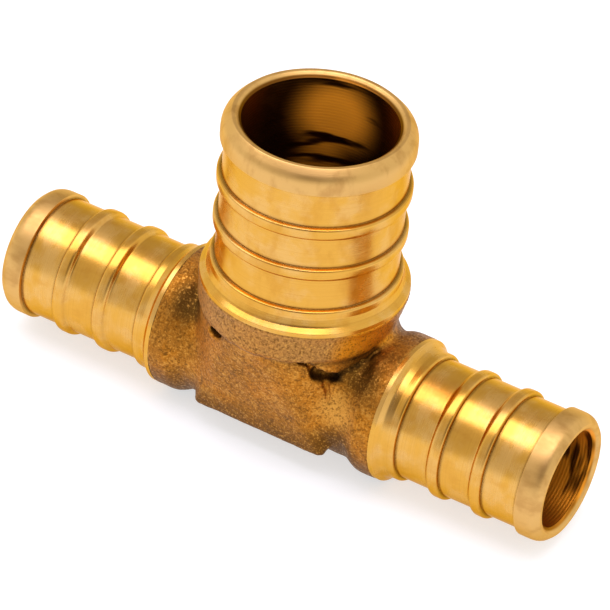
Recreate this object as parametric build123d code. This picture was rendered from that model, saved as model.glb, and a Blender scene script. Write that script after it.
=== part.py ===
from build123d import *
import os

# Reducing tee for crimped tube: one brass casting whose three barbed ends are turned after casting.
# Origin where the run axis (X) crosses the branch axis (Z). Millimetres, +Z up the branch.

# Tube sizes: both run ends take the small tube, the branch takes the large one.
RUN_CREST = 6.00        # radius over the ribs
RUN_NECK = 5.60         # radius between the ribs
RUN_BORE = 4.55         # radius of the waterway
RUN_FLANGE = 6.65       # radius where the turned end meets the casting
RUN_TIP = 28.00         # from the branch axis to either run end
BRANCH_CREST = 8.55
BRANCH_NECK = 8.13
BRANCH_BORE = 6.90
BRANCH_FLANGE = 9.30
BRANCH_TIP = 26.00      # from the run axis to the branch end
BRANCH_BORE_BOTTOM = 5.20

# Barb, measured back from the tip. It is the same for both tube sizes.
MOUTH_CHAMFER = 0.45    # turned into the bore at the tip
TIP_LAND = 0.35         # flat ring left on the tip face
LEAD_ROUND = 1.20       # rounds the back of the 45 degree lead-in over to the tip band
BAND_END = 2.30         # back of the tip band
RIB_CENTRES = (6.35, 10.60)
RIB_LAND = 0.90         # flat crest of a rib
RIB_FLANK = 0.28        # axial run of each flank
STOP_START = 14.45      # front of the last rib, where the tube stops
STOP_LAND = 0.75
FLANGE_END = 16.45      # where the turned part meets the casting
FLANGE_RIM = 0.25       # plain turned rim in front of the casting
COVE_SAG = 0.36         # share of the flare reached half way along the cove

# Casting
TUBE_RADIUS = 6.00      # plain run between the bosses
BOSS_RADIUS = 6.68      # swell behind each run flange
BOSS_START = 8.30       # where the run begins to swell
BOSS_RISE = 1.20        # length over which it swells
BOSS_BLEND = 1.60       # radius that rounds the shoulder of the swell
DRUM_RADIUS = 9.10      # drum below the branch flange
DRUM_SHOULDER = 0.60    # height of the taper between the branch flange and the drum
DRUM_BOTTOM = 6.70
BODY_TOP_RADIUS = 9.00  # the body starts this wide under the drum, which overhangs it slightly
BODY_TOP_FLAT = 0.10    # half the short flat between the body's corners at the top
BODY_BOTTOM = -3.70
FOOT_HALF_LENGTH = 6.40  # the body narrows to this rectangle at its lower edge
FOOT_HALF_WIDTH = 6.00
FOOT_CORNER = 0.45


def barb_section(crest, neck, bore, flange, tip):
    """Half section of one barb, X = radius and Y = distance along the axis, tip at the top."""
    def at(radius, back):
        return (radius, tip - back)

    mouth = bore + MOUTH_CHAMFER
    rim = mouth + TIP_LAND
    lead_in_back = at(crest, crest - rim)
    outside = [at(bore, FLANGE_END), at(bore, MOUTH_CHAMFER), at(mouth, 0), at(rim, 0), lead_in_back]
    outside += [at(crest, BAND_END), at(neck, BAND_END + RIB_FLANK)]
    for centre in RIB_CENTRES:
        front = centre - RIB_LAND / 2
        back = centre + RIB_LAND / 2
        outside += [at(neck, front - RIB_FLANK), at(crest, front), at(crest, back), at(neck, back + RIB_FLANK)]
    cove_start = STOP_START + STOP_LAND
    cove_end = FLANGE_END - FLANGE_RIM
    outside += [at(neck, STOP_START - RIB_FLANK), at(crest, STOP_START), at(crest, cove_start)]
    cove_middle = at(crest + (flange - crest) * COVE_SAG, (cove_start + cove_end) / 2)
    section = make_face([
        Polyline(outside),
        ThreePointArc(at(crest, cove_start), cove_middle, at(flange, cove_end)),
        Polyline([at(flange, cove_end), at(flange, FLANGE_END), at(bore, FLANGE_END)]),
    ])
    corner = section.vertices().sort_by_distance((*lead_in_back, 0))[0]
    return fillet(corner, LEAD_ROUND)


def barb(crest, neck, bore, flange, tip):
    return revolve(Plane.XZ * barb_section(crest, neck, bore, flange, tip), Axis.Z)


def run_casting():
    """Plain tube that swells into a boss with a rounded shoulder behind each flange."""
    end = RUN_TIP - FLANGE_END
    shoulder = (BOSS_START + BOSS_RISE, BOSS_RADIUS)
    outline = make_face(Polyline([
        (0, 0),
        (0, TUBE_RADIUS),
        (BOSS_START, TUBE_RADIUS),
        shoulder,
        (end, BOSS_RADIUS),
        (end, 0),
        (0, 0),
    ]))
    corner = outline.vertices().sort_by_distance((*shoulder, 0))[0]
    half = revolve(fillet(corner, BOSS_BLEND), Axis.X)
    return half + mirror(half, Plane.YZ)


def drum():
    """Round drum below the branch flange."""
    top = BRANCH_TIP - FLANGE_END
    section = make_face(Polyline([
        (0, DRUM_BOTTOM),
        (0, top),
        (BRANCH_FLANGE, top),
        (DRUM_RADIUS, top - DRUM_SHOULDER),
        (DRUM_RADIUS, DRUM_BOTTOM),
        (0, DRUM_BOTTOM),
    ]))
    return revolve(Plane.XZ * section, Axis.Z)


def cast_body():
    """Under the drum the body narrows from a circle to a rectangle that is as wide as the run."""
    top_side = 2 * BODY_TOP_RADIUS
    top = RectangleRounded(top_side, top_side, BODY_TOP_RADIUS - BODY_TOP_FLAT)
    foot = RectangleRounded(2 * FOOT_HALF_LENGTH, 2 * FOOT_HALF_WIDTH, FOOT_CORNER)
    return loft([Plane.XY.offset(BODY_BOTTOM) * foot, Plane.XY.offset(DRUM_BOTTOM) * top], ruled=True)


def waterways():
    """Run bore right through, branch bore down to a cone that opens into the run."""
    run = Rot(0, 90, 0) * Cylinder(RUN_BORE, 2 * RUN_TIP)
    branch = make_face(Polyline([
        (0, 0),
        (0, BRANCH_TIP),
        (BRANCH_BORE, BRANCH_TIP),
        (BRANCH_BORE, BRANCH_BORE_BOTTOM),
        (RUN_BORE, BRANCH_BORE_BOTTOM - (BRANCH_BORE - RUN_BORE)),
        (RUN_BORE, 0),
        (0, 0),
    ]))
    return run + revolve(Plane.XZ * branch, Axis.Z)


def casting():
    return run_casting() + cast_body() + drum()


def tee():
    run_end = barb(RUN_CREST, RUN_NECK, RUN_BORE, RUN_FLANGE, RUN_TIP)
    branch_end = barb(BRANCH_CREST, BRANCH_NECK, BRANCH_BORE, BRANCH_FLANGE, BRANCH_TIP)
    body = casting() - waterways()
    return body + Rot(0, 90, 0) * run_end + Rot(0, -90, 0) * run_end + branch_end


os.makedirs("parts", exist_ok=True)
export_step(tee(), "parts/tee_fitting.step")
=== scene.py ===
import math

import bpy
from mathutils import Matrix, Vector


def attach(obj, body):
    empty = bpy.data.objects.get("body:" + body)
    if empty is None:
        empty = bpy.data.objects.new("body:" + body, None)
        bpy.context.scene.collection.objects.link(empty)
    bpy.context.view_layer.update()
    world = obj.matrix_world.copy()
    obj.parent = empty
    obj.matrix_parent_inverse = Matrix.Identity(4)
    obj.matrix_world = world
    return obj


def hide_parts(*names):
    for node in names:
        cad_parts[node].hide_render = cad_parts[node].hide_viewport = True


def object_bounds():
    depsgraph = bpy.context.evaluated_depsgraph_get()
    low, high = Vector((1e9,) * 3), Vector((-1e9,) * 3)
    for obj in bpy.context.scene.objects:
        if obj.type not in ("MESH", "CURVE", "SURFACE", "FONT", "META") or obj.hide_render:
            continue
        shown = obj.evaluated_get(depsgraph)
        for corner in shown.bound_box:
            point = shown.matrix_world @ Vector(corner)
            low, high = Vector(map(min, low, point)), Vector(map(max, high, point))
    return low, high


bl_info = {
    "name": "Crimp Tube Tee",
    "version": (1, 0, 0),
    "blender": (4, 5, 0),
    "location": "3D View > Sidebar > Tee",
    "description": "Models a cast and turned brass tee for crimped tube in a plain studio",
    "category": "Object",
}

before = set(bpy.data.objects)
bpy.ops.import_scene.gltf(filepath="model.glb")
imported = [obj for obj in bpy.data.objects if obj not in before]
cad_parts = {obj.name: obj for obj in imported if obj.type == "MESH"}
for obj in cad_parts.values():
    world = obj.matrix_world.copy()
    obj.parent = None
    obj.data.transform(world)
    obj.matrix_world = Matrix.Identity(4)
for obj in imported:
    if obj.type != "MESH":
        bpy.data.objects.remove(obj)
CAD_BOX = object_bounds()
CAD_NODE = "tee_fitting"
MM = 0.001


def length(name, mm, description):
    return bpy.props.FloatProperty(
        name=name, description=description, default=mm * MM, unit="LENGTH", precision=5
    )


def point(name, metres, description):
    return bpy.props.FloatVectorProperty(
        name=name, description=description, default=metres, size=3, subtype="TRANSLATION"
    )


def shade(name, rgb, description):
    return bpy.props.FloatVectorProperty(
        name=name, description=description, default=rgb, size=3, min=0, max=1, subtype="COLOR"
    )


# ---------------------------------------------------------------- sizes and colours


class TurnedSizes(bpy.types.PropertyGroup):
    """Lathe-turned barbs. Lengths along a barb are measured back from its tip."""

    run_crest: length("Run rib radius", 6.00, "Over the ribs of the run barbs")
    run_neck: length("Run neck radius", 5.60, "Between the ribs of the run barbs")
    run_bore: length("Run bore radius", 4.55, "Waterway of the run")
    run_flange: length("Run flange radius", 6.65, "Where a run barb meets the casting")
    run_tip: length("Run half length", 28.0, "From the branch axis to a run tip")
    branch_crest: length("Branch rib radius", 8.55, "Over the ribs of the branch barb")
    branch_neck: length("Branch neck radius", 8.13, "Between the ribs of the branch barb")
    branch_bore: length("Branch bore radius", 6.90, "Waterway of the branch")
    branch_flange: length("Branch flange radius", 9.30, "Where the branch meets the casting")
    branch_tip: length("Branch height", 26.0, "From the run axis to the branch tip")
    mouth: length("Mouth chamfer", 0.45, "Chamfer of the bore at the tip")
    tip_land: length("Tip land", 0.35, "Flat ring of the tip face")
    lead_round: length("Lead-in rounding", 0.72, "Between the 45 degree lead-in and the crest")
    band_end: length("Tip band end", 2.30, "Back of the tip band")
    rib_one: length("First rib", 6.35, "Centre of the first rib")
    rib_two: length("Second rib", 10.60, "Centre of the second rib")
    rib_land: length("Rib land", 1.05, "Flat crest of a rib")
    rib_round: length("Rib rounding", 0.26, "Rounding of a rib's crest")
    flank: length("Rib flank", 0.07, "Axial run of a rib's front flank")
    rib_slope: length("Rib slope", 0.25, "Axial run of the slope behind a rib")
    rear_foot: length("Rear foot", 0.15, "How far behind a rib's land its slope ends")
    stop: length("Stop rib", 14.45, "Front of the last rib")
    stop_land: length("Stop land", 0.75, "Crest of the last rib")
    flange_end: length("Flange end", 16.45, "Where the turning ends at the casting")
    rim: length("Flange rim", 0.25, "Plain rim in front of the casting")
    root: length("Root", 0.15, "How far a barb runs on into the casting")
    liner: length("Liner", 0.60, "How far the bored wall runs on inside the casting")
    liner_wall: length("Liner wall", 0.10, "From the bore to the outside of the liner")
    bore_inset: length("Bore inset", 0.03, "How far the bored wall stands in from the bore")
    edge_round: length("Edge rounding", 0.035, "Rounding of the turned edges")


class CastingSizes(bpy.types.PropertyGroup):
    """Where the casting departs from its plain solid, and the grids that it is shaped on."""

    drum_rise: length("Drum rise", 0.16, "How far the drum stands proud of the block")
    drum_lean: length("Drum lean", 0.55, "How far the right of the drum draws in at its foot")
    foot_drop: length("Foot drop", 0.38, "How much lower the long edges of the foot reach")
    foot_reach: length("Foot reach", 0.28, "How much further out the ends of the foot reach")
    lump_size: length("Lump size", 1.6, "Size of the broad lumps of the skin")
    lump_height: length("Lump height", 0.10, "Height of the broad lumps from hollow to peak")
    grain_size: length("Grain size", 0.30, "Size of the grains of the skin")
    grain_height: length("Grain height", 0.05, "Height of the grains from hollow to peak")
    working_grid: length("Working grid", 0.22, "Grid of the mesh while it is shaped")
    flaw_grid: length("Flaw grid", 0.08, "Grid of the flaws that are cut from it")
    skin_grid: length("Skin grid", 0.16, "Grid of the finished mesh")


class FinishColours(bpy.types.PropertyGroup):
    """Colours of the metal as turned and as cast."""

    turned: shade("Turned brass", (0.70, 0.375, 0.062), "Fresh metal under the tool")
    turned_dark: shade("Tarnish", (0.55, 0.245, 0.03), "Brown film on the turned metal")
    satin: shade("Satin tips", (0.77, 0.485, 0.17), "Brushed tip bands")
    tip_dull: shade("Dull tips", (0.46, 0.235, 0.065), "Duller patches of the tip bands")
    # Painted shade in the foot of a rib
    rib_foot_shade: shade("Crevice", (0.11, 0.042, 0.006), "Dark line in the foot of a rib")
    # Painted light on the far walls of the bores, broken into the tool's streaks
    worn_glow: shade("Worn bore", (1.0, 0.36, 0.02), "Bright streaks where the tool rubbed the bore")
    # Painted shade over the waterways
    bore: shade("Bore film", (0.16, 0.060, 0.008), "Dark film in the waterways")
    cast: shade("Cast skin", (0.41, 0.165, 0.020), "Brown skin of the casting")
    cast_warm: shade("Warm skin", (0.54, 0.20, 0.015), "Orange patches of the skin")
    # Darker grain in the hollows of the skin, and also the painted shade in the folds, under the
    # drum's edge, in the low corners and towards the foot
    cast_dark_and_shade: shade("Cast hollows", (0.14, 0.058, 0.009), "Dirt in the hollows of the skin")
    cast_light: shade("Cast peaks", (0.66, 0.325, 0.058), "Rubbed peaks of the grain")
    # Painted shade deep in the sand holes and the crack, and along the drum's lower edge
    deep_shade: shade("Soot", (0.020, 0.011, 0.004), "Deep in the sand holes")
    # Paler skin of the drum, partly its own pinker tone and partly painted light that sets off its
    # lower edge
    cast_pale: shade("Drum skin", (0.46, 0.25, 0.085), "Paler skin round the foot of the branch")
    # A brighter orange patch at the right of the drum
    cast_orange: shade("Drum glow", (0.80, 0.31, 0.012), "Orange skin at the right of the drum")
    # Painted shade in the inner corners beside the drum
    corner_shade: shade("Corner dirt", (0.095, 0.047, 0.009), "Brown dirt in the corners")


class StageSettings(bpy.types.PropertyGroup):
    """Floor and lights."""

    floor_size: length("Floor size", 6000.0, "Side of the square floor")
    floor_gap: length("Floor gap", 0.05, "Below the lowest point of the fitting")
    floor_grey: shade("Floor", (0.50, 0.50, 0.50), "How pale the floor is under the lamp")
    floor_glow: bpy.props.FloatProperty(
        name="Floor glow", description="Extra light of the floor in view and mirrored", default=0.6
    )
    world_level: bpy.props.FloatProperty(
        name="Room level", description="Strength of the room light", default=0.9
    )
    lamp_power: bpy.props.FloatProperty(
        name="Overhead lamp", description="Power of the soft lamp above", default=2.1
    )
    lamp_place: point("Lamp place", (-0.10, -0.08, 0.49), "Middle of the soft lamp")
    lamp_aim: point("Lamp aim", (-0.10, 0.0, 0.0), "Point that the lamp faces")
    lamp_width: length("Lamp width", 700.0, "Long side of the lamp")
    lamp_depth: length("Lamp depth", 320.0, "Short side of the lamp")
    lamp_colour: shade("Lamp colour", (0.86, 0.80, 1.0), "Cool, so that brass isn't too yellow")


# Camera axes to the right, up and back, its place in metres and its lens in mm
CAMERA_AXES = (
    (0.848993, 0.521656, 0.084176),
    (-0.366679, 0.466920, 0.804694),
    (0.380470, -0.714045, 0.587692),
)
CAMERA_PLACE = (0.15118776, -0.28315761, 0.23933837)
CAMERA_LENS = 266.207

# Darker parts of the room that the metal mirrors: (azimuth, height) in degrees, the closeness
# at which each starts and is full, its strength and its colour
ROOM_WHITE = (1.0, 0.98, 0.93)
ROOM_SHADES = (
    ((-150.0, 42.0), (0.75, 0.97), 0.55, (0.30, 0.24, 0.20)),
    ((0.0, 34.0), (0.62, 0.93), 0.45, (0.42, 0.34, 0.30)),
    ((30.0, 40.0), (0.78, 0.97), 0.75, (0.14, 0.10, 0.08)),
)


# ---------------------------------------------------------------- shader maths


class Wire:
    """A node socket that adds Math nodes when it is used in an expression."""

    def __init__(self, shader, socket):
        self.shader = shader
        self.socket = socket

    def _math(self, operation, *values):
        return self.shader.node("ShaderNodeMath", {"operation": operation}, *values)

    def __add__(self, other):
        return self._math("ADD", self, other)

    def __mul__(self, other):
        return self._math("MULTIPLY", self, other)

    def __sub__(self, other):
        return self._math("SUBTRACT", self, other)

    def __rsub__(self, other):
        return self._math("SUBTRACT", other, self)

    def __abs__(self):
        return self._math("ABSOLUTE", self)

    __radd__ = __add__
    __rmul__ = __mul__

    def power(self, exponent):
        return self._math("POWER", self, exponent)

    def sine(self):
        return self._math("SINE", self)

    def step(self, low, high):
        """0 below low, 1 above high, smooth between. It falls where low is above high."""
        settings = {"interpolation_type": "SMOOTHSTEP"}
        return self.shader.node("ShaderNodeMapRange", settings, self, low, high, 0.0, 1.0)


def from_axis(first, second):
    """Distance from an axis, from the two parts of a place across it."""
    return (first * first + second * second).power(0.5)


class Shader:
    """Builds one node material or world."""

    def __init__(self, owner):
        owner.use_nodes = True
        self.tree = owner.node_tree
        self.tree.nodes.clear()

    def node(self, kind, settings=None, *values, out=0, **named):
        """Adds a node. Values fill its sockets in order, and named ones by name."""
        made = self.tree.nodes.new(kind)
        for key, value in (settings or {}).items():
            setattr(made, key, value)
        pairs = list(zip((slot for slot in made.inputs if slot.enabled), values))
        pairs += [(made.inputs[key.replace("_", " ")], value) for key, value in named.items()]
        for slot, value in pairs:
            if isinstance(value, Wire):
                self.tree.links.new(value.socket, slot)
            else:
                slot.default_value = value
        if isinstance(out, str):
            return Wire(self, made.outputs[out])
        outputs = [socket for socket in made.outputs if socket.enabled]
        return Wire(self, outputs[out]) if outputs else None

    def outputs(self, kind, *names):
        """Adds a node and gives the outputs of these names."""
        sockets = self.node(kind).socket.node.outputs
        return [Wire(self, sockets[name]) for name in names]

    def vector(self, operation, *values, **named):
        return self.node("ShaderNodeVectorMath", {"operation": operation}, *values, **named)

    def combine(self, x, y, z):
        return self.node("ShaderNodeCombineXYZ", None, x, y, z)

    def mix(self, factor, first, second):
        """Colour mix."""
        colours = [part if isinstance(part, Wire) else (*part, 1.0) for part in (first, second)]
        return self.node("ShaderNodeMix", {"data_type": "RGBA"}, factor, *colours)

    def layers(self, colour, *coats):
        """Lays (mask, colour) coats over a colour, one after another."""
        for mask, coat in coats:
            colour = self.mix(mask, colour, coat)
        return colour

    def place(self):
        """Object coordinates in millimetres, as a vector and its three parts."""
        metres = self.node("ShaderNodeTexCoord", out="Object")
        scaled = self.vector("SCALE", metres, Scale=1 / MM)
        split = self.node("ShaderNodeSeparateXYZ", None, scaled).socket.node
        return scaled, [Wire(self, part) for part in split.outputs]

    def noise(self, vector, scale, detail, roughness=0.5):
        settings = {"Scale": scale, "Detail": detail, "Roughness": roughness}
        return self.node("ShaderNodeTexNoise", None, vector, **settings)

    def openness(self, reach, samples):
        """1 in the open, falling where other metal stands within reach mm."""
        settings = {"samples": samples}
        return self.node("ShaderNodeAmbientOcclusion", settings, Distance=reach * MM, out="AO")

    def bump(self, height, strength, relief):
        """Surface direction over a height, with its relief in mm."""
        return self.node(
            "ShaderNodeBump", None, Strength=strength, Distance=relief * MM, Height=height
        )

    def near(self, place, centre, outer, inner):
        """1 within inner mm of the centre, fading to 0 at outer mm."""
        return self.vector("DISTANCE", place, centre, out="Value").step(outer, inner)

    def streak(self, place, start, end, outer, inner):
        """1 within inner mm of the line from start to end, fading to 0 at outer mm."""
        run = Vector(end) - Vector(start)
        from_start = self.vector("SUBTRACT", place, start)
        along = self.vector("DOT_PRODUCT", from_start, tuple(run / run.length_squared), out="Value")
        share = self.node("ShaderNodeClamp", None, along, 0.0, 1.0)
        nearest = self.vector("SCALE", tuple(run), Scale=share)
        return self.vector("DISTANCE", from_start, nearest, out="Value").step(outer, inner)

    def facing(self, direction, azimuth, height, low, high):
        """Rises from 0 to 1 as the direction nears this azimuth and height in degrees."""
        around, upward = math.radians(azimuth), math.radians(height)
        flat = math.cos(upward)
        aim = (math.sin(around) * flat, -math.cos(around) * flat, math.sin(upward))
        return self.vector("DOT_PRODUCT", direction, aim, out="Value").step(low, high)

    def surface(self, shader, kind="ShaderNodeOutputMaterial"):
        """Gives this shader to the material, or to the world with the world's kind of output."""
        self.node(kind, None, Surface=shader)


# ---------------------------------------------------------------- materials

# Painted light on the far walls of the bores, broken into the tool's streaks: spots as (place,
# reach) in mm and strength, how far the metal there loses its mirror, and how much rougher it is
BRANCH_WEAR_GLOW = {
    "spots": (((-2.0, 6.4, 21.9), 5.2, 1.0), ((-3.2, 6.0, 16.6), 3.4, 0.55)),
    "matt": 0.85,
    "rough": 0.26,
}
RUN_WEAR_GLOW = {
    "spots": (((27.0, 4.0, 0.0), 9.0, 1.0), ((-27.0, 4.0, 0.0), 9.0, 0.8)),
    "matt": 0.40,
    "rough": 0.06,
}
BODY_WEAR_GLOW = {"spots": (((0.0, 5.0, 8.0), 7.0, 1.0),), "matt": 0.40, "rough": 0.06}

# Sizes in mm of the turned finish: the fade at the end of the tip band, how far outside the bore
# the painted shade of the bore starts and is full, the pitch of the tool's grooves in the bore, and
# the part behind a rib kept free of painted shade. The last value tints the shine of the metal
# seen at a glance.
BAND_FADE = 0.25
BORE_EDGE = (0.30, 0.10)
GROOVE_PITCH = 0.30
UNSHADED_SHIFT = 0.25
UNSHADED_REACH = (0.50, 0.36)
BRASS_GLANCE = (0.95, 0.72, 0.38, 1.0)


def behind_ribs(along, tip):
    """1 on the slopes behind the two ribs, where the painted shade of a rib's foot is kept off."""
    sizes = bpy.context.scene.tee_turned
    behind = 0.0
    for centre in (sizes.rib_one, sizes.rib_two):
        foot = tip - (centre + sizes.rib_land / 2) / MM - UNSHADED_SHIFT
        behind = behind + abs(along - foot).step(*UNSHADED_REACH)
    return behind


def turned_brass(name, axis, tip, wear_glow, all_bore=False):
    """Turned brass, with rings from the tool round an axis: 0 is X and 2 is Z.

    The metal ends tip mm out along the axis. With all_bore, all of it is waterway.
    """
    colours = bpy.context.scene.tee_finish
    sizes = bpy.context.scene.tee_turned
    material = bpy.data.materials.new(name)
    s = Shader(material)
    place, parts = s.place()
    along = abs(parts[axis])
    across = [part for i, part in enumerate(parts) if i != axis]

    def streaks(lengthwise, crosswise, detail, roughness):
        """Noise with its own scale across the axis."""
        vector = s.combine(lengthwise, across[0] * crosswise, across[1] * crosswise)
        return s.noise(vector, 1.0, detail, roughness)

    bore = (sizes.run_bore if axis == 0 else sizes.branch_bore) / MM
    inside = 1.0 if all_bore else from_axis(*across).step(*(bore + edge for edge in BORE_EDGE))
    band_end = tip - sizes.band_end / MM
    band = along.step(band_end - BAND_FADE, band_end + BAND_FADE) * (1 - inside)
    wander = s.noise(place, 0.25, 2.0)
    rings = s.noise(s.combine(along * 7.0 + wander, 0.0, 0.0), 1.0, 4.0, 0.7)
    hairlines = streaks(along * 16.0, 0.5, 2.0, 0.6)
    pale = streaks(along * 0.40, 0.30, 3.0, 0.55).step(0.42, 0.66)
    film = streaks(along * 0.3 + 9.0, 0.55, 4.0, 0.6).step(0.46, 0.70)
    scored = streaks(along * 0.55, 0.10, 3.0, 0.55)

    # Painted light on the far walls of the bores, broken into the tool's streaks
    spots = 0.0
    for centre, reach, strength in wear_glow["spots"]:
        spots = spots + s.near(place, centre, reach, reach * 0.3) * strength
    worn_glow = spots * scored.step(0.38, 0.48)
    # Painted shade in the foot of each rib, where other metal stands close
    rib_foot_shade = s.openness(0.35, 6).step(0.90, 0.70) * (1 - inside)
    colour = s.layers(
        colours.turned,
        (pale * 0.60, colours.satin),
        (film * 0.45, colours.turned_dark),
        (rings.step(0.60, 0.35) * 0.25, colours.turned_dark),
        (band * 0.85, colours.satin),
        (band * (0.25 + film * 0.45), colours.tip_dull),
        # In the waterways: painted shade, with the painted light of the far walls over it
        (inside, s.mix(worn_glow, colours.bore, colours.worn_glow)),
        (rib_foot_shade * (1 - behind_ribs(along, tip) * 0.75) * 0.92, colours.rib_foot_shade),
    )

    grooves = (along * (math.tau / GROOVE_PITCH) + wander * 3.0).sine()
    height = rings * 0.5 + hairlines * 0.4 + inside * (grooves * 0.8 + rings)
    outer_rough = 0.19 + band * 0.13 + pale * 0.06 + hairlines * 0.08
    brass = s.node(
        "ShaderNodeBsdfPrincipled",
        None,
        Base_Color=colour,
        Metallic=1 - inside * worn_glow * wear_glow["matt"],
        Roughness=outer_rough + inside * (0.10 + worn_glow * wear_glow["rough"]),
        Normal=s.bump(height, 0.28, 0.03),
        Specular_Tint=BRASS_GLANCE,
    )
    s.surface(brass)
    return material


# Painted shade along the drum's lower edge, in the crack and in the sand holes of the casting:
# (start, end, half width) in mm and strength
SHADE_LINES = (
    ((5.30, -7.25, 6.50), (7.95, -4.25, 6.50), 0.26, 0.50),
    ((7.95, -4.25, 6.50), (8.90, -1.90, 6.78), 0.26, 0.50),
    ((7.00, -5.55, 4.92), (8.07, -3.76, 5.45), 0.40, 0.60),
    ((8.07, -3.76, 5.45), (9.00, -1.90, 6.25), 0.30, 0.50),
    ((-4.45, -7.25, 5.75), (-3.50, -7.75, 6.10), 0.62, 0.97),
    ((5.55, -6.45, 5.00), (6.90, -5.10, 4.55), 0.95, 0.97),
)

# Heights in mm on the casting: the line where the drum meets the block, under which a shadow is
# painted, and where the skin starts to darken towards the foot and is darkest
DRUM_EDGE_HEIGHT = 6.35
UNDER_SHADE = (-0.6, -4.2)


def cast_brass(name):
    """Granular brown as-cast skin, rubbed on its peaks, with painted shade beside the branch."""
    colours = bpy.context.scene.tee_finish
    material = bpy.data.materials.new(name)
    s = Shader(material)
    place, (x, y, z) = s.place()
    ax, ay = abs(x), abs(y)
    radius = from_axis(x, y)
    grain = s.noise(place, 3.0, 4.0, 0.7)
    fine = s.noise(place, 5.4, 2.0, 0.7)
    patches = s.noise(place, 0.22, 4.0, 0.6)
    blotches = s.noise(place, 0.75, 3.0, 0.6)
    hollows = (grain * 0.5 + fine * 0.5).step(0.50, 0.40)
    peaks = (grain * 0.3 + fine * 0.7).step(0.53, 0.62)

    # Partly painted light: the drum is painted paler to set off its lower edge
    drum = radius.step(8.75, 9.0) * z.step(6.5, 7.0)
    # A brighter orange patch at the right front of the drum
    drum_orange = s.near(place, (8.6, -3.0, 7.2), 4.6, 2.2)
    # Painted shade in the inner corners between the drum and the run, left and right, front and
    # back
    corner = s.near(s.combine(ax, ay * 0.8, z), (8.9, 3.3, 5.0), 3.0, 0.6)
    rubbed = s.near(place, (7.7, -6.0, 1.6), 2.6, 0.6)
    # Painted shadow under the lower edge of the drum
    drum_edge_shadow = abs(z - DRUM_EDGE_HEIGHT).step(0.30, 0.05) * radius.step(8.3, 8.7)
    # Painted shade in the low recess at the right of the foot, front and back
    low_corner_shade = s.near(s.combine(ax, ay, z), (8.0, 5.6, -2.4), 3.2, 1.0) * x.step(-2.0, 2.0)
    # How open the skin is: it lays painted shade in the folds and deeper painted shade in the holes
    open_sky = s.openness(1.2, 8)
    # Painted shade along the listed lines
    painted_shade = [
        (s.streak(place, start, end, width, width * 0.3) * strength, colours.deep_shade)
        for start, end, width, strength in SHADE_LINES
    ]
    colour = s.layers(
        colours.cast,
        (patches.step(0.42, 0.58) * 0.70, colours.cast_warm),
        (blotches.step(0.52, 0.70) * 0.45, colours.cast_light),
        (blotches.step(0.46, 0.30) * 0.45, colours.cast_dark_and_shade),
        (drum * 0.55 * (1 - drum_orange), colours.cast_pale),
        (drum * drum_orange * 0.8, colours.cast_orange),
        (corner * (0.93 - x.step(0.0, 2.0) * 0.13), colours.corner_shade),
        (rubbed * 0.9, colours.cast_light),
        (drum_edge_shadow * 0.5, colours.cast_dark_and_shade),
        (z.step(*UNDER_SHADE) * 0.80, colours.cast_dark_and_shade),
        (low_corner_shade * 0.95, colours.cast_dark_and_shade),
        (open_sky.step(0.80, 0.45) * 0.6, colours.cast_dark_and_shade),
        (hollows * 0.68, colours.cast_dark_and_shade),
        (peaks * 0.55, colours.cast_light),
        (open_sky.step(0.58, 0.30) * 0.95, colours.deep_shade),
        *painted_shade,
    )
    brass = s.node(
        "ShaderNodeBsdfPrincipled",
        None,
        Base_Color=colour,
        Metallic=1.0,
        Roughness=0.55 - peaks * 0.22,
        Normal=s.bump(grain * 0.6 + fine * 0.4, 0.8, 0.09),
    )
    s.surface(brass)
    return material


def floor_white(settings):
    """Pale floor that keeps the fitting's shadow and is white in view and in the metal."""
    material = bpy.data.materials.new("floor_white")
    s = Shader(material)
    camera, glossy = s.outputs("ShaderNodeLightPath", "Is Camera Ray", "Is Glossy Ray")
    lit = s.node("ShaderNodeBsdfDiffuse", None, Color=(*settings.floor_grey, 1.0))
    glow = s.node("ShaderNodeEmission", None, Strength=(camera + glossy) * settings.floor_glow)
    s.surface(s.node("ShaderNodeAddShader", None, lit, glow))
    return material


def room_light(level):
    """Even light from all round. The metal mirrors a white room with three darker parts."""
    world = bpy.data.worlds.new("studio_room")
    bpy.context.scene.world = world
    s = Shader(world)
    direction = s.node("ShaderNodeTexCoord", out="Generated")
    camera, glossy = s.outputs("ShaderNodeLightPath", "Is Camera Ray", "Is Glossy Ray")
    mirrored = ROOM_WHITE
    for aim, closeness, strength, colour in ROOM_SHADES:
        shaded = s.facing(direction, *aim, *closeness)
        mirrored = s.mix(shaded * strength, mirrored, colour)
    colour = s.layers((level, level, level), (glossy, mirrored), (camera, (1.0, 1.0, 1.0)))
    background = s.node("ShaderNodeBackground", None, Color=colour, Strength=1.0)
    s.surface(background, "ShaderNodeOutputWorld")


# ---------------------------------------------------------------- modelling helpers

WELD = 1e-7


def start_afresh():
    if bpy.context.object and bpy.context.object.mode != "OBJECT":
        bpy.ops.object.mode_set(mode="OBJECT")
    bpy.ops.object.select_all(action="DESELECT")


def make_active(piece):
    start_afresh()
    piece.select_set(True)
    bpy.context.view_layer.objects.active = piece


def edit_all(piece):
    """Opens a piece in edit mode with all of it selected."""
    make_active(piece)
    bpy.ops.object.mode_set(mode="EDIT")
    bpy.ops.mesh.select_all(action="SELECT")


def edit_points(piece, chosen):
    """Opens a piece in edit mode with the points selected whose place in mm passes the test."""
    make_active(piece)
    bpy.ops.object.mode_set(mode="EDIT")
    bpy.ops.mesh.select_all(action="DESELECT")
    bpy.ops.object.mode_set(mode="OBJECT")
    for point in piece.data.vertices:
        point.select = chosen(*(part / MM for part in point.co))
    bpy.ops.object.mode_set(mode="EDIT")


def apply_modifier(piece, kind, **settings):
    """Adds a modifier with these settings and applies it."""
    make_active(piece)
    modifier = piece.modifiers.new(kind.lower(), kind)
    for key, value in settings.items():
        setattr(modifier, key, value)
    bpy.ops.object.modifier_apply(modifier=modifier.name)


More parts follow.
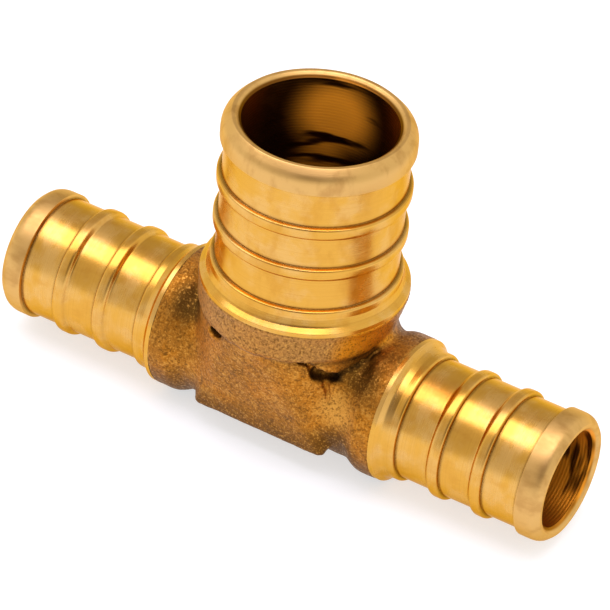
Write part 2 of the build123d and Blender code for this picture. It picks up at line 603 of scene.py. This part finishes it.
def remesh(piece, grid):
    apply_modifier(piece, "REMESH", mode="VOXEL", voxel_size=grid)


def place_in_mesh():
    """Moves the active object's place, turn and size into its mesh."""
    bpy.ops.object.transform_apply(location=True, rotation=True, scale=True)


def seat(piece):
    """The piece is part of the one casting, so it rides on the root and stands for the node."""
    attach(piece, "root")
    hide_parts(CAD_NODE)


# ---------------------------------------------------------------- turned barbs

LATHE_STEPS = 160
CURVE_STEPS = 5
SMOOTH_BELOW = math.radians(40)
# Where the hollow cove in front of the flange is deepest, as shares of its rise and its length
COVE_RISE = 0.30
COVE_LENGTH = 0.62


def outline_to_lathe(name, points):
    """A closed outline in the X-Z plane, drawn point by point and spun about Z."""
    start_afresh()
    first = points[0]
    bpy.ops.mesh.primitive_plane_add(size=MM, location=(first[0], 0, first[1]))
    piece = bpy.context.object
    piece.name = name
    place_in_mesh()
    bpy.ops.object.mode_set(mode="EDIT")
    bpy.ops.mesh.select_all(action="SELECT")
    bpy.ops.mesh.merge(type="CENTER")
    previous = first
    for point in points[1:] + [first]:
        move = (point[0] - previous[0], 0, point[1] - previous[1])
        bpy.ops.mesh.extrude_vertices_move(TRANSFORM_OT_translate={"value": move})
        previous = point
    bpy.ops.mesh.select_all(action="SELECT")
    bpy.ops.mesh.remove_doubles(threshold=WELD)
    bpy.ops.mesh.spin(steps=LATHE_STEPS, angle=math.tau, center=(0, 0, 0), axis=(0, 0, 1))
    bpy.ops.mesh.select_all(action="SELECT")
    bpy.ops.mesh.remove_doubles(threshold=WELD)
    bpy.ops.mesh.normals_make_consistent(inside=False)
    bpy.ops.object.mode_set(mode="OBJECT")
    return piece


def rounded(corners):
    """Rounds the (radius, back, rounding) corners of an outline; 0 keeps a corner sharp."""
    points = []
    for i, (radius, back, rounding) in enumerate(corners):
        if rounding == 0:
            points.append((radius, back))
            continue
        here = Vector((radius, back))
        ends = []
        for other in (corners[i - 1], corners[(i + 1) % len(corners)]):
            step = Vector(other[:2]) - here
            ends.append(here + step.normalized() * min(rounding, step.length * 0.48))
        for k in range(CURVE_STEPS + 1):
            share = k / CURVE_STEPS
            rest = 1 - share
            points.append(tuple(ends[0] * rest**2 + here * 2 * share * rest + ends[1] * share**2))
    return points


def barb_outline(sizes, which):
    """Half section of one barb as (radius, height) pairs, tip at the top, axis on Z."""
    crest, neck, bore, flange, tip = (
        getattr(sizes, f"{which}_{key}") for key in ("crest", "neck", "bore", "flange", "tip")
    )
    edge = sizes.edge_round
    wall = bore - sizes.bore_inset
    mouth = bore + sizes.mouth
    rim = mouth + sizes.tip_land
    root = sizes.flange_end + sizes.root
    liner_end = root + sizes.liner
    corners = [
        (wall, liner_end, 0),
        (wall, sizes.mouth, edge),
        (mouth, 0.0, edge * 4),
        (rim, 0.0, edge * 2),
        (crest, crest - rim, sizes.lead_round),
        (crest, sizes.band_end, edge),
        (neck, sizes.band_end + sizes.flank, edge),
    ]
    for centre in (sizes.rib_one, sizes.rib_two):
        front = centre - sizes.rib_land / 2
        foot = centre + sizes.rib_land / 2 + sizes.rear_foot
        corners += [
            (neck, front - sizes.flank, edge),
            (crest, front, sizes.rib_round),
            (crest, foot - sizes.rib_slope, sizes.rib_round),
            (neck, foot, sizes.rib_slope * 0.6),
        ]
    cove_start = sizes.stop + sizes.stop_land
    cove_end = sizes.flange_end - sizes.rim
    cove_radius = crest + (flange - crest) * COVE_RISE
    cove_back = cove_start + (cove_end - cove_start) * COVE_LENGTH
    corners += [
        (neck, sizes.stop - sizes.flank, edge),
        (crest, sizes.stop, sizes.rib_round),
        (crest, cove_start, edge),
        (cove_radius, cove_back, edge * 4),
        (flange, cove_end, edge),
        (flange, root, 0),
        (bore + sizes.liner_wall, root, 0),
        (bore + sizes.liner_wall, liner_end, 0),
    ]
    return [(radius, tip - back) for radius, back in rounded(corners)]


def turned_barb(name, which, material):
    """One turned barb on +Z, with rounded edges."""
    piece = outline_to_lathe(name, barb_outline(bpy.context.scene.tee_turned, which))
    make_active(piece)
    bpy.ops.object.shade_smooth_by_angle(angle=SMOOTH_BELOW)
    piece.data.materials.append(material)
    return piece


def turn_onto_run(piece, quarter_turns):
    edit_all(piece)
    bpy.ops.transform.rotate(
        value=quarter_turns * math.pi / 2, orient_axis="Y", center_override=(0, 0, 0)
    )
    bpy.ops.object.mode_set(mode="OBJECT")


# ---------------------------------------------------------------- casting

# Places on the casting in mm. The drum is the round wall under the branch barb, and the block
# below it stands on a foot.
RUN_WATERWAY = 4.9
BRANCH_WATERWAY = 7.02
BRANCH_WATERWAY_END = 1.0
DRUM_RADIUS = 9.0
DRUM_SIDE = 8.75
DRUM_WALL = (8.2, 9.4)
DRUM_RIM = 9.5
DRUM_TOP = 9.4
DRUM_FOOT = 6.4
RUN_SURFACE = 6.6
CLEAR_OF_RUN = 6.75
FOOT_TOP = -0.2
FOOT_END = 6.8
CORNER_REACH = 0.9

# Smoothing rounds for the inner corners beside the drum and for the ends of the block
CORNER_ROUNDS = 14
BLOCK_END_ROUNDS = 70

# Sand holes, crack, cold shut and parting ledge: (place, half sizes) in mm, (turn) in degrees
FLAWS = (
    ((-4.05, -8.00, 5.98), (1.12, 1.05, 0.60), (0, -24, -28)),
    ((4.45, -7.85, 6.45), (0.65, 0.50, 0.20), (0, 13, 32)),
    ((5.05, -7.50, 6.28), (0.55, 0.60, 0.28), (0, 16, 35)),
    ((5.45, -7.15, 5.80), (0.34, 0.60, 0.45), (0, 35, 40)),
    ((5.90, -6.70, 5.10), (0.80, 1.10, 0.66), (0, 22, 43)),
    ((6.60, -6.00, 4.72), (1.05, 1.15, 0.62), (0, 10, 48)),
    ((6.50, -6.10, 3.90), (0.42, 0.50, 0.42), (0, 0, 45)),
    ((6.62, -5.95, 3.20), (0.26, 0.40, 0.60), (0, -6, 45)),
    ((6.70, -5.85, 2.45), (0.17, 0.30, 0.55), (0, 2, 45)),
    ((7.35, -5.20, 5.10), (0.85, 0.42, 0.22), (0, -18, 54)),
    ((7.85, -4.25, 5.45), (0.90, 0.42, 0.22), (0, -12, 62)),
    ((8.30, -3.10, 5.75), (0.90, 0.40, 0.20), (0, -10, 68)),
    ((8.75, -2.00, 6.10), (0.80, 0.36, 0.18), (0, -18, 70)),
)


def ramp(value, low, high):
    """0 at low, 1 at high, smooth between. It falls where low is above high."""
    share = min(max((value - low) / (high - low), 0.0), 1.0)
    return share * share * (3 - 2 * share)


def on_skin(x, y, z):
    """True on the outside of the casting, False in its waterways."""
    outside_branch = math.hypot(x, y) > BRANCH_WATERWAY or z < BRANCH_WATERWAY_END
    return math.hypot(y, z) > RUN_WATERWAY and outside_branch


def on_drum(x, y, z):
    """The wall of the drum, above its lower edge."""
    return z > 6.45 + 0.05 * abs(x) and math.hypot(x, y) > DRUM_SIDE and z < DRUM_TOP


def beside_branch(x, y, z):
    """The inner corner between the drum and the run."""
    near_drum = abs(math.hypot(x, y) - DRUM_RADIUS) < CORNER_REACH
    return z > 2.0 and near_drum and abs(math.hypot(y, z) - RUN_SURFACE) < CORNER_REACH


def block_end(x, y, z):
    """Where the flat sides of the block run out into the round run, above the foot."""
    return 4.3 < abs(x) < 9.6 and abs(y) > 3.6 and -1.6 < z < 6.4 and math.hypot(y, z) > 5.2


def trim_to_casting(body, sizes):
    """Cuts the three barbs off a copy of the solid."""
    edit_all(body)
    bpy.ops.mesh.remove_doubles(threshold=WELD)
    run_end = sizes.run_tip - sizes.flange_end
    branch_end = sizes.branch_tip - sizes.flange_end
    for normal, reach in (((1, 0, 0), run_end), ((-1, 0, 0), run_end), ((0, 0, 1), branch_end)):
        bpy.ops.mesh.select_all(action="SELECT")
        cut = [part * reach for part in normal]
        bpy.ops.mesh.bisect(plane_co=cut, plane_no=normal, use_fill=True, clear_outer=True)
    bpy.ops.object.mode_set(mode="OBJECT")


def raise_drum(body, height):
    """Lifts the wall of the drum, so that its lower edge shows."""
    edit_points(body, on_drum)
    bpy.ops.transform.shrink_fatten(value=height)
    bpy.ops.object.mode_set(mode="OBJECT")


def lean_drum(body, most):
    """Draws the right and back of the drum in by up to this many mm towards its foot."""
    for point in body.data.vertices:
        x, y, z = (part / MM for part in point.co)
        radius = math.hypot(x, y)
        in_wall = DRUM_WALL[0] < radius < DRUM_WALL[1] and z <= DRUM_RIM
        if not in_wall or math.hypot(y, z) < CLEAR_OF_RUN:
            continue
        share = ramp(0.88 * x + 0.47 * y, 5.0, 8.6) * ramp(z, DRUM_TOP, DRUM_FOOT)
        scale = 1 - most * share / radius
        point.co.x *= scale
        point.co.y *= scale


def spread_foot(body, down, out):
    """Lets the foot of the block reach lower at its long edges and further at its ends."""
    for point in body.data.vertices:
        x, y, z = (part / MM for part in point.co)
        if abs(x) > FOOT_END or z > FOOT_TOP:
            continue
        share = ramp(-z, 0.5, 3.4) * ramp(abs(y), 4.7, 5.5)
        point.co.z -= down * share
        point.co.x += math.copysign(out, x) * share * ramp(abs(x), 4.6, 6.2)


def soften(body, chosen, rounds):
    """Smooths the points whose place in mm passes the test."""
    edit_points(body, chosen)
    bpy.ops.mesh.vertices_smooth(factor=0.5, repeat=rounds)
    bpy.ops.object.mode_set(mode="OBJECT")


def cut_flaws(body, grid):
    """Cuts the flaws: balls stretched to size, set on the skin, joined and taken away."""
    start_afresh()
    cutters = []
    for near, half, turn in FLAWS:
        found, on_surface, _, _ = body.closest_point_on_mesh(Vector(near) * MM)
        if not found:
            raise RuntimeError(f"no casting near {near}")
        bpy.ops.mesh.primitive_ico_sphere_add(
            subdivisions=3,
            radius=MM,
            location=on_surface,
            rotation=[math.radians(part) for part in turn],
            scale=half,
        )
        cutters.append(bpy.context.object)
    for cutter in cutters:
        cutter.select_set(True)
    bpy.ops.object.join()
    cutter = bpy.context.object
    place_in_mesh()
    remesh(cutter, grid)
    apply_modifier(body, "BOOLEAN", operation="DIFFERENCE", object=cutter, solver="EXACT")
    bpy.data.objects.remove(cutter)


def roughen(body, name, size, height):
    """Lifts and sinks the skin by up to half the height, in lumps of this size."""
    group = body.vertex_groups.get("skin") or body.vertex_groups.new(name="skin")
    points = body.data.vertices
    skin = [point.index for point in points if on_skin(*(part / MM for part in point.co))]
    group.add(skin, 1.0, "REPLACE")
    lumps = bpy.data.textures.new(name, "CLOUDS")
    lumps.noise_scale = size
    lumps.noise_depth = 3
    settings = {"texture": lumps, "texture_coords": "LOCAL", "strength": height, "mid_level": 0.5}
    apply_modifier(body, "DISPLACE", vertex_group="skin", **settings)
    bpy.data.textures.remove(lumps)


# ---------------------------------------------------------------- studio


def lay_floor(settings):
    start_afresh()
    height = CAD_BOX[0][2] - settings.floor_gap
    bpy.ops.mesh.primitive_plane_add(size=settings.floor_size, location=(0, 0, height))
    floor = bpy.context.object
    floor.name = "studio_floor"
    place_in_mesh()
    floor.data.materials.append(floor_white(settings))


def hang_lamp(settings):
    start_afresh()
    bpy.ops.object.light_add(type="AREA", location=settings.lamp_place)
    lamp = bpy.context.object
    lamp.name = "overhead_lamp"
    lamp.data.shape = "RECTANGLE"
    lamp.data.size = settings.lamp_width
    lamp.data.size_y = settings.lamp_depth
    lamp.data.energy = settings.lamp_power
    lamp.data.color = settings.lamp_colour
    toward = Vector(settings.lamp_aim) - lamp.location
    lamp.rotation_euler = toward.to_track_quat("-Z", "Y").to_euler()


def place_camera(scene):
    """Three quarter view from above the front right."""
    start_afresh()
    bpy.ops.object.camera_add()
    camera = bpy.context.object
    camera.name = "studio_camera"
    matrix = Matrix(CAMERA_AXES).transposed().to_4x4()
    matrix.translation = CAMERA_PLACE
    camera.matrix_world = matrix
    camera.data.sensor_width = 36.0
    camera.data.lens = CAMERA_LENS
    camera.data.clip_start = 0.01
    camera.data.clip_end = 20.0
    scene.camera = camera
    scene.view_settings.view_transform = "Standard"


# ---------------------------------------------------------------- operators and panel


class TEE_OT_cast_body(bpy.types.Operator):
    """Models the cast body between the turned barbs"""

    bl_idname = "tee.cast_body"
    bl_label = "Cast Body"

    def execute(self, context):
        casting = context.scene.tee_casting
        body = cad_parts[CAD_NODE].copy()
        body.data = body.data.copy()
        body.name = "cast_body"
        body.parent = None
        context.scene.collection.objects.link(body)
        body.data.materials.clear()
        trim_to_casting(body, context.scene.tee_turned)
        remesh(body, casting.working_grid)
        raise_drum(body, casting.drum_rise)
        lean_drum(body, casting.drum_lean / MM)
        spread_foot(body, casting.foot_drop, casting.foot_reach)
        soften(body, beside_branch, CORNER_ROUNDS)
        soften(body, block_end, BLOCK_END_ROUNDS)
        cut_flaws(body, casting.flaw_grid)
        remesh(body, casting.skin_grid)
        roughen(body, "lumps", casting.lump_size, casting.lump_height)
        roughen(body, "grains", casting.grain_size, casting.grain_height)
        make_active(body)
        bpy.ops.object.shade_smooth()
        body.data.materials.append(cast_brass("cast_brass"))
        body.data.materials.append(turned_brass("bored_brass", 0, 99.0, BODY_WEAR_GLOW, all_bore=True))
        for face in body.data.polygons:
            face.material_index = 0 if on_skin(*(part / MM for part in face.center)) else 1
        seat(body)
        return {"FINISHED"}


class TEE_OT_turned_barbs(bpy.types.Operator):
    """Models the three turned barbs"""

    bl_idname = "tee.turned_barbs"
    bl_label = "Turned Barbs"

    def execute(self, context):
        sizes = context.scene.tee_turned
        metal = turned_brass("turned_brass_branch", 2, sizes.branch_tip / MM, BRANCH_WEAR_GLOW)
        seat(turned_barb("branch_barb", "branch", metal))
        metal = turned_brass("turned_brass_run", 0, sizes.run_tip / MM, RUN_WEAR_GLOW)
        for name, quarter_turns in (("run_barb_right", 1), ("run_barb_left", -1)):
            barb = turned_barb(name, "run", metal)
            turn_onto_run(barb, quarter_turns)
            seat(barb)
        return {"FINISHED"}


class TEE_OT_studio(bpy.types.Operator):
    """Sets up the floor, the lamp, the room light and the camera"""

    bl_idname = "tee.studio"
    bl_label = "Studio"

    def execute(self, context):
        settings = context.scene.tee_stage
        lay_floor(settings)
        hang_lamp(settings)
        room_light(settings.world_level)
        place_camera(context.scene)
        return {"FINISHED"}


STEPS = (TEE_OT_cast_body, TEE_OT_turned_barbs, TEE_OT_studio)
GROUPS = {
    "tee_turned": TurnedSizes,
    "tee_casting": CastingSizes,
    "tee_finish": FinishColours,
    "tee_stage": StageSettings,
}


class TEE_PT_panel(bpy.types.Panel):
    """Lists the steps and their sizes"""

    bl_label = "Crimp Tube Tee"
    bl_space_type = "VIEW_3D"
    bl_region_type = "UI"
    bl_category = "Tee"

    def draw(self, context):
        layout = self.layout
        for operator in STEPS:
            layout.operator(operator.bl_idname)
        for group in GROUPS:
            box = layout.box()
            settings = getattr(context.scene, group)
            for key in settings.__annotations__:
                box.prop(settings, key)


def register():
    for name, group in GROUPS.items():
        bpy.utils.register_class(group)
        setattr(bpy.types.Scene, name, bpy.props.PointerProperty(type=group))
    for item in (*STEPS, TEE_PT_panel):
        bpy.utils.register_class(item)


def unregister():
    for item in (TEE_PT_panel, *reversed(STEPS)):
        bpy.utils.unregister_class(item)
    for name, group in GROUPS.items():
        delattr(bpy.types.Scene, name)
        bpy.utils.unregister_class(group)


def main():
    register()
    for step in STEPS:
        family, action = step.bl_idname.split(".")
        getattr(getattr(bpy.ops, family), action)()


if __name__ == "__main__":
    main()
